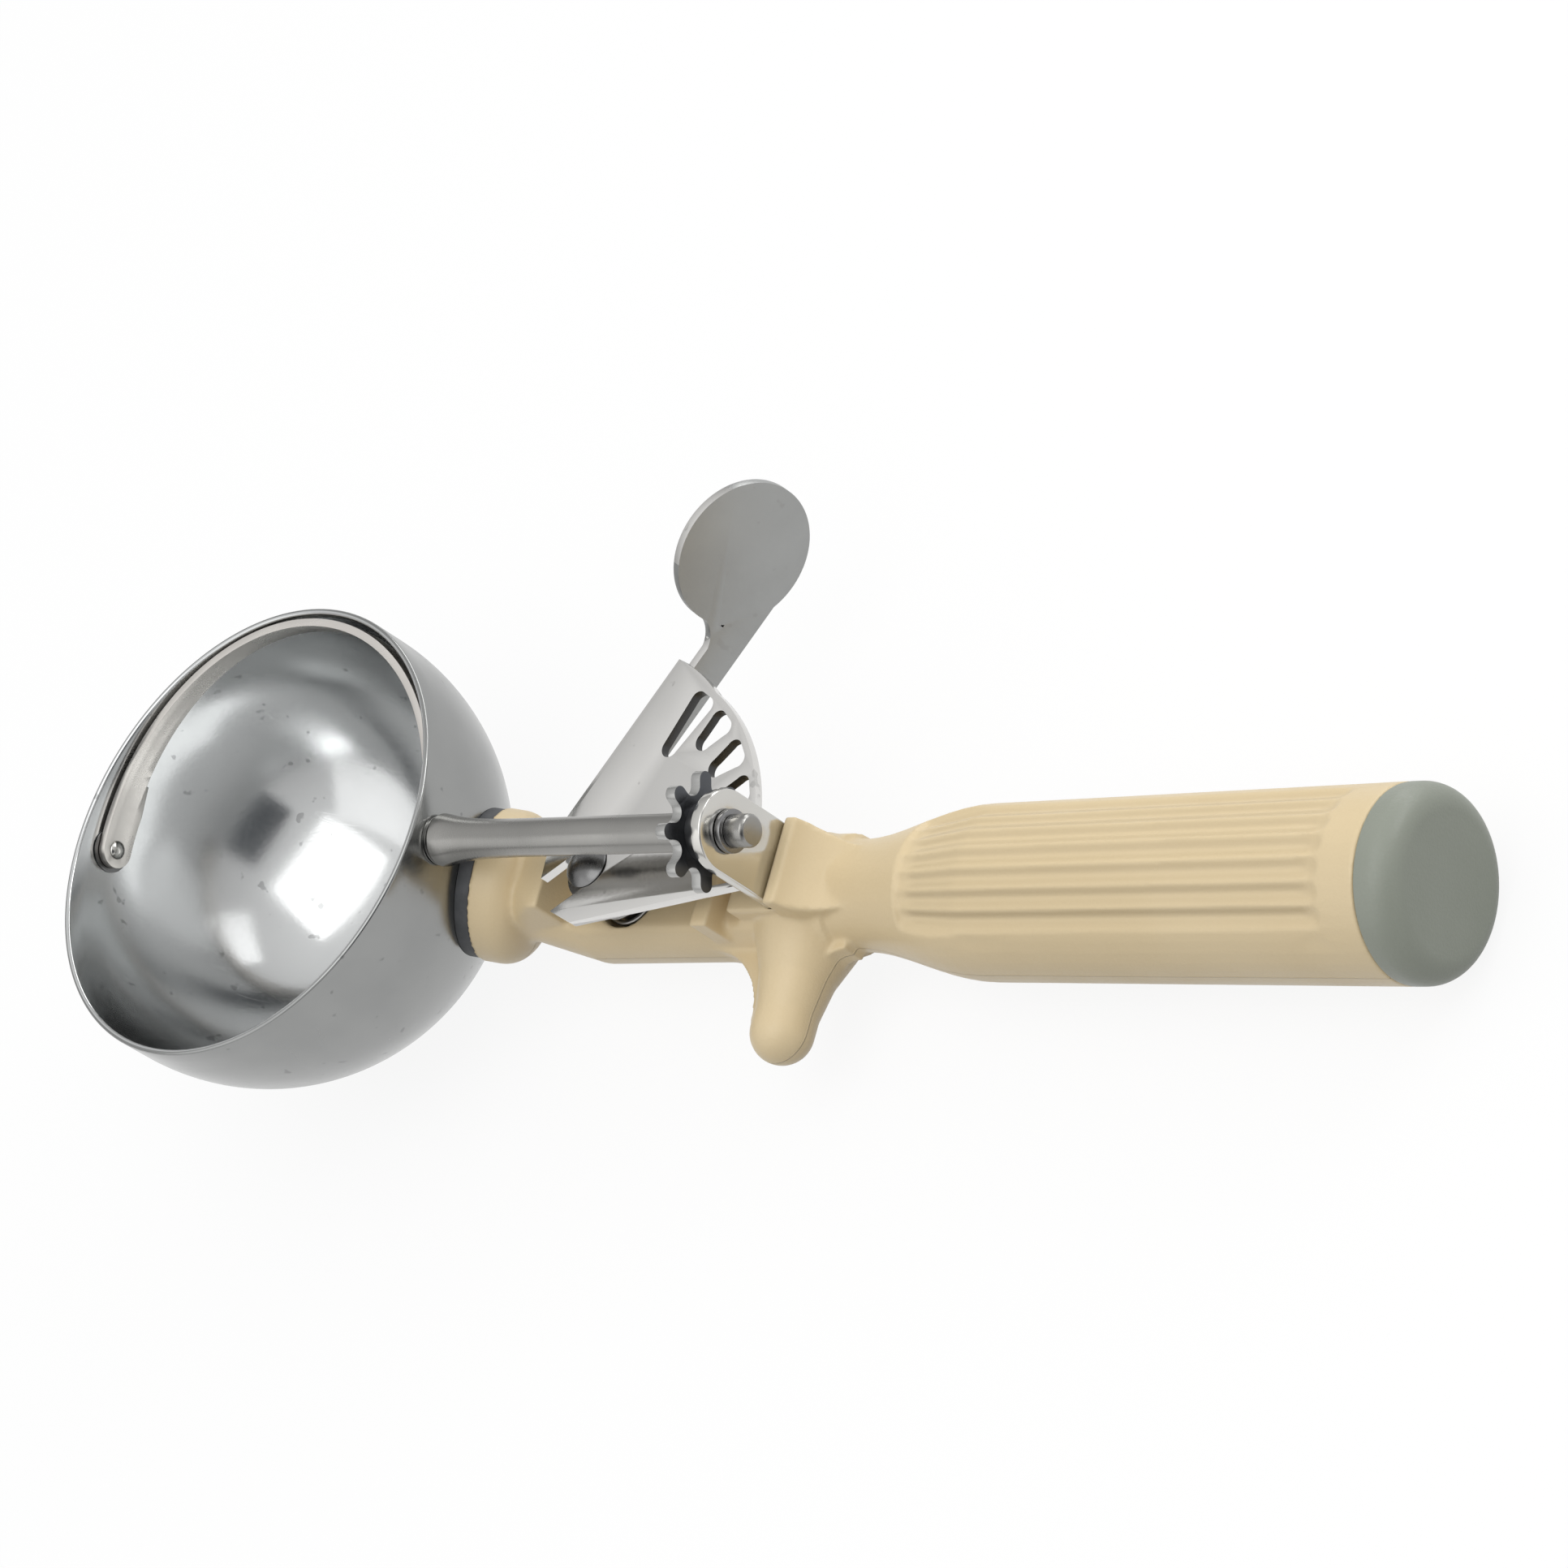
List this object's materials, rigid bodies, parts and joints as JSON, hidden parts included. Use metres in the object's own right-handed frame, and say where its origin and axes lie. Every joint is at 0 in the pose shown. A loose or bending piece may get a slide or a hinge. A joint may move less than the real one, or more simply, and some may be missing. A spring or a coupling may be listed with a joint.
{
  "type": "lever ice cream scoop",
  "caption": "Hand scoop with a hemispherical bowl, a sweeping blade turned by a thumb lever through a slotted sector and pinion, and a moulded grip with a finger hook.",
  "frame": {"origin": "centre of the bowl mouth, in the plane of the rim", "axes": "+X along the handle toward the end cap, +Z out of the bowl mouth, +Y toward the thumb lever side"},
  "size_m": [0.2234, 0.0869, 0.0415],
  "materials": {
    "bowl_steel": "satin",
    "blade_steel": "satin",
    "rivet_steel": "polished",
    "washer_steel": "dull",
    "shaft_steel": "satin",
    "pinion_steel": "satin",
    "lever_steel": "polished",
    "ear_steel": "mirror",
    "ring_steel": "blackened",
    "spring_steel": "drawn wire",
    "ivory": "moulded, satin",
    "cap_plastic": "moulded, matt",
    "gasket_rubber": "matt",
    "insert_brass": "machined"
  },
  "bodies": {
    "handle_body": {"handle": "ivory", "end_cap": "cap_plastic", "bowl": "bowl_steel", "bowl_gasket": "gasket_rubber", "bowl_stud": "washer_steel", "stud_insert": "insert_brass", "blade_front_rivet": "rivet_steel", "blade_front_washer": "washer_steel", "blade_rear_washer": "washer_steel", "shaft_bush": "shaft_steel", "bearing_plate": "ear_steel", "lever_pivot": "shaft_steel", "lever_washer": "washer_steel"},
    "lever_body": {"lever": "lever_steel", "return_spring": "spring_steel"},
    "blade_body": {"blade": "blade_steel", "shaft": "shaft_steel", "shaft_sleeve": "shaft_steel", "pinion": "pinion_steel", "pinion_washer": "washer_steel", "retaining_ring": "ring_steel"}
  },
  "joints": [
    {"name": "thumb_lever", "type": "hinge", "parent": "handle_body", "child": "lever_body", "pos_m": [0.056, -0.0012, -0.013], "axis": [0, 0, 1], "range_deg": [-54, 0], "stiffness_Nm_per_rad": 0.12, "springref_deg": 34.38},
    {"name": "blade_spin", "type": "hinge", "parent": "handle_body", "child": "blade_body", "pos_m": [0, 0, -0.0058], "axis": [1, 0, 0], "range_deg": [-181.4, 0]}
  ],
  "couplings": [
    {"joint": "blade_spin", "follows": "thumb_lever", "ratio": 3.3582}
  ]
}
